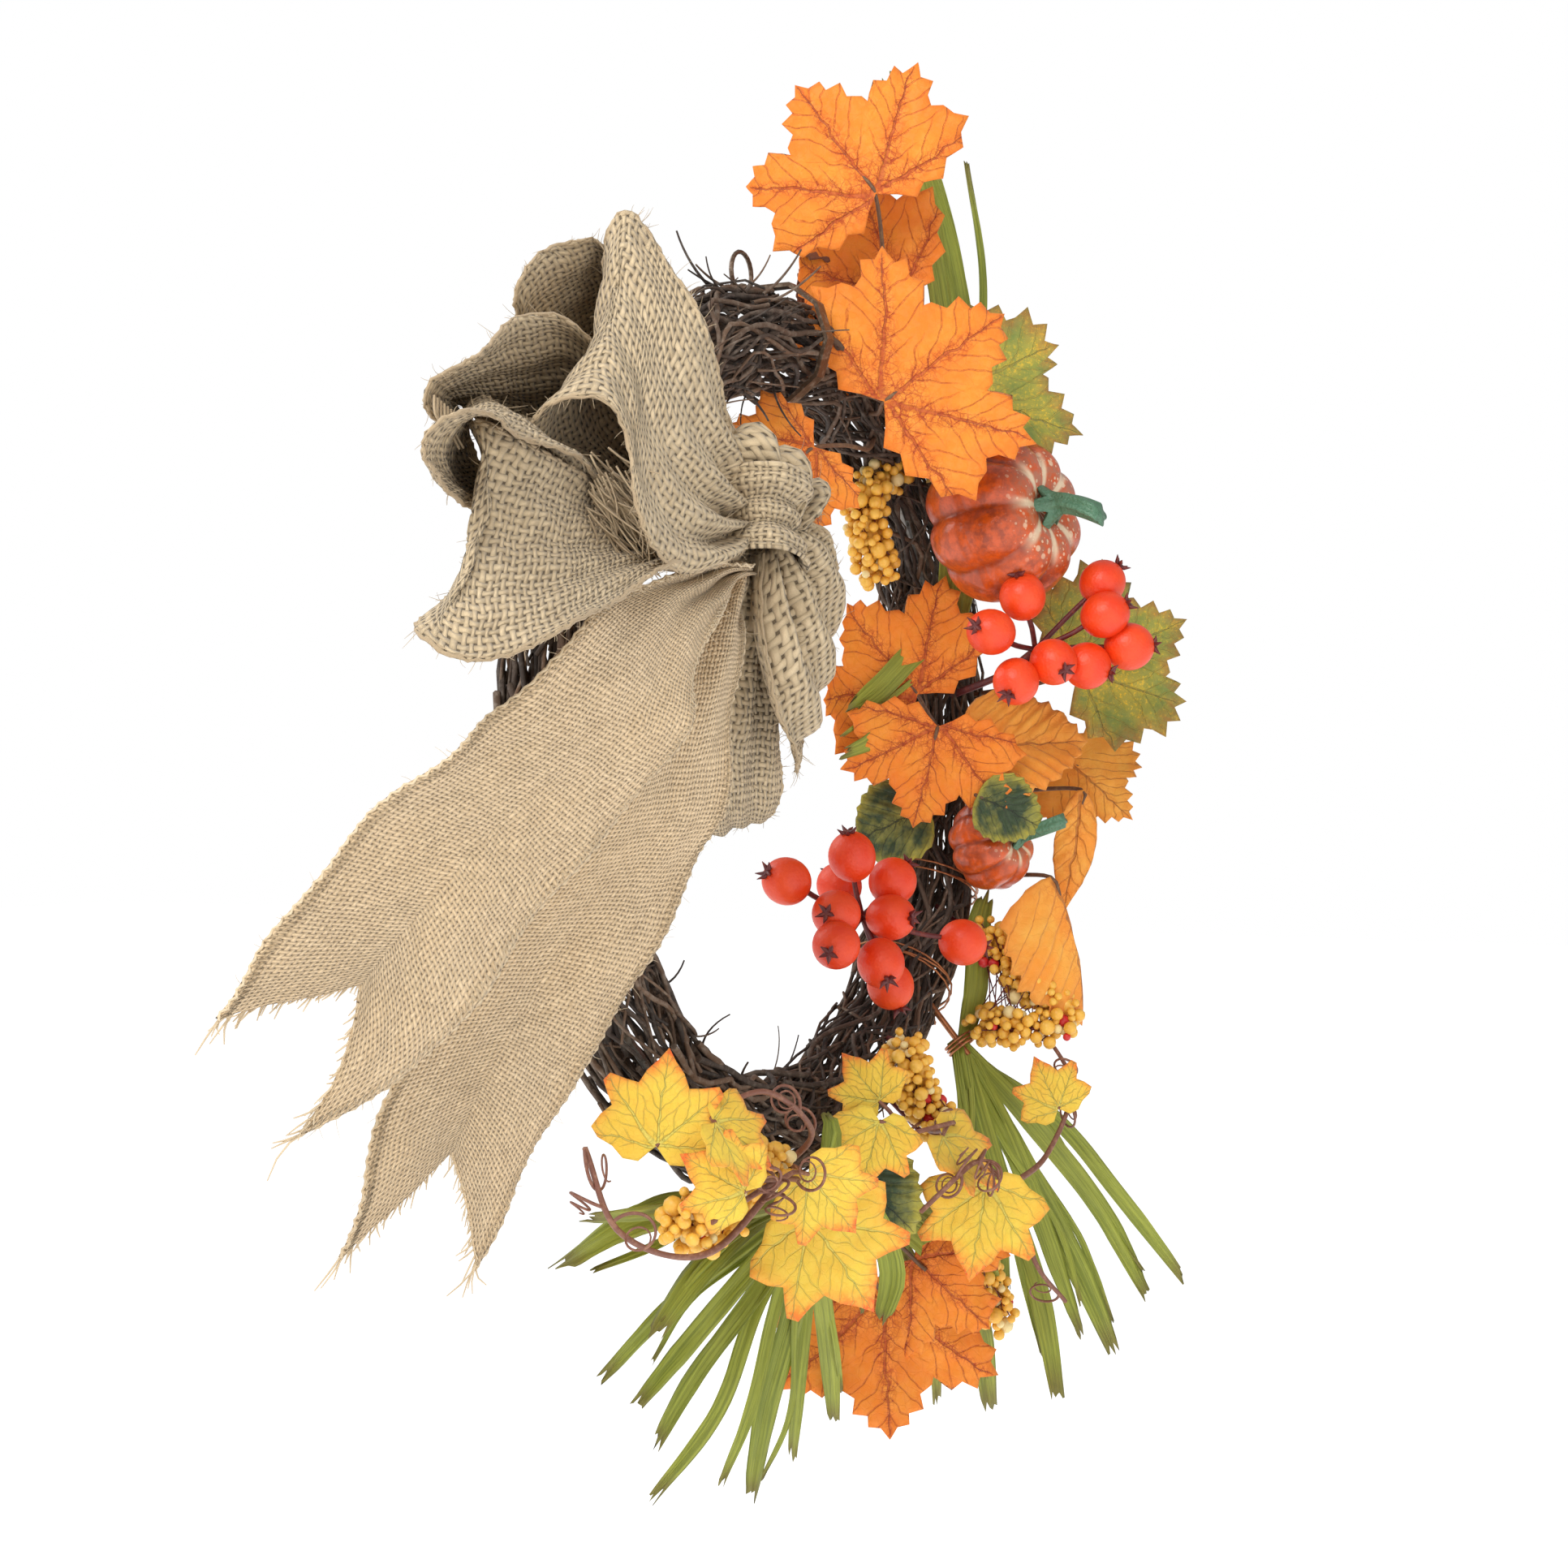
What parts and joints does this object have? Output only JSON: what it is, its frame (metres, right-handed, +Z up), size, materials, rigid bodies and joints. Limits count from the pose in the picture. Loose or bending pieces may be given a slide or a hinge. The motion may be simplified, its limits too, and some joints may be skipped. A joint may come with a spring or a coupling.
{
  "type": "door wreath",
  "caption": "Round twig wreath with a burlap bow and tails on the left and leaves, pumpkins, berries and raffia down the right, hung by a wire loop.",
  "frame": {"origin": "where the hook bears inside the hanger loop, at the top of the loop's hole", "axes": "+Z up, -Y towards the room (the decorated face), +Y towards the door, +X to the right seen from the room"},
  "size_m": [0.4897, 0.1171, 0.496],
  "materials": {
    "twig": "dry bark, matt",
    "hoop_wire": "dull drawn wire",
    "copper_wire": "copper-coloured craft wire, satin",
    "hanger_wire": "brown lacquered wire, satin",
    "coarse_burlap": "loose coarse jute weave",
    "fine_burlap": "finer jute weave, stitched hems",
    "maple_leaf": "printed polyester, matt",
    "grape_leaf": "printed polyester, matt",
    "green_leaf": "printed polyester, matt",
    "dark_leaf": "printed polyester, matt",
    "brown_leaf": "printed polyester, matt",
    "ivy": "printed polyester, matt",
    "pumpkin": "lacquered foam, glossy",
    "pumpkin_stem": "lacquered foam, glossy",
    "berry": "lacquered foam, glossy",
    "bead": "painted foam, satin",
    "raffia": "coated paper, slightly shiny"
  },
  "bodies": {
    "wreath": {"bead_spray_bottom": "bead", "bead_spray_bottom_right": "bead", "bead_spray_inner": "bead", "bead_spray_lower_right": "bead", "bead_spray_right": "bead", "berry_spray_lower": "berry", "berry_spray_upper": "berry", "binding_wire_1": "copper_wire", "binding_wire_2": "copper_wire", "binding_wire_3": "copper_wire", "binding_wire_4": "copper_wire", "bow_knot": "coarse_burlap", "bow_loop_bottom": "coarse_burlap", "bow_loop_left": "coarse_burlap", "bow_loop_lower_left": "coarse_burlap", "bow_loop_right_lower": "coarse_burlap", "bow_loop_right_upper": "coarse_burlap", "bow_loop_upper_back": "coarse_burlap", "bow_loop_upper_front": "coarse_burlap", "brown_leaf_lower": "brown_leaf", "brown_leaf_upper": "brown_leaf", "curled_leaf_green": "green_leaf", "curled_leaf_lower": "green_leaf", "curled_leaf_right": "green_leaf", "dark_leaf_bottom": "dark_leaf", "dark_leaf_left": "dark_leaf", "dark_leaf_right": "dark_leaf", "grape_leaf_right": "grape_leaf", "grape_leaf_upper": "grape_leaf", "hanger_tie": "hanger_wire", "ivy_left": "ivy", "ivy_right": "ivy", "maple_leaf_bottom": "maple_leaf", "maple_leaf_bottom_upper": "maple_leaf", "maple_leaf_middle_lower": "maple_leaf", "maple_leaf_middle_upper": "maple_leaf", "maple_leaf_small": "maple_leaf", "maple_leaf_top": "maple_leaf", "maple_leaf_upper_back": "maple_leaf", "maple_leaf_upper_front": "maple_leaf", "pumpkin_large": "pumpkin", "pumpkin_large_stem": "pumpkin_stem", "pumpkin_small": "pumpkin", "pumpkin_small_stem": "pumpkin_stem", "raffia_bottom": "raffia", "raffia_side": "raffia", "raffia_top": "raffia", "rounded_leaf_right": "green_leaf", "twig_bundle_1": "twig", "twig_bundle_2": "twig", "twig_bundle_3": "twig", "twig_bundle_4": "twig", "twig_bundle_5": "twig", "twig_bundle_6": "twig", "twig_bundle_7": "twig", "twig_bundle_8": "twig", "wire_hoop": "hoop_wire"},
    "hanger": {"hanger_loop": "hanger_wire"},
    "tail_left": {"bow_tail_left": "fine_burlap"},
    "tail_right": {"bow_tail_right": "fine_burlap"}
  },
  "joints": [
    {"name": "hanger_swing", "type": "hinge", "parent": "wreath", "child": "hanger", "pos_m": [0, 0, -0.0132], "axis": [1, 0, 0], "range_deg": [-75, 60]},
    {"name": "tail_left_lift", "type": "hinge", "parent": "wreath", "child": "tail_left", "pos_m": [-0.117, -0.069, -0.1287], "axis": [-0.5735, 0.1912, 0.7966], "range_deg": [0, 18]},
    {"name": "tail_right_lift", "type": "hinge", "parent": "wreath", "child": "tail_right", "pos_m": [-0.105, -0.066, -0.1337], "axis": [-0.8994, 0.3748, 0.2249], "range_deg": [0, 18]}
  ]
}
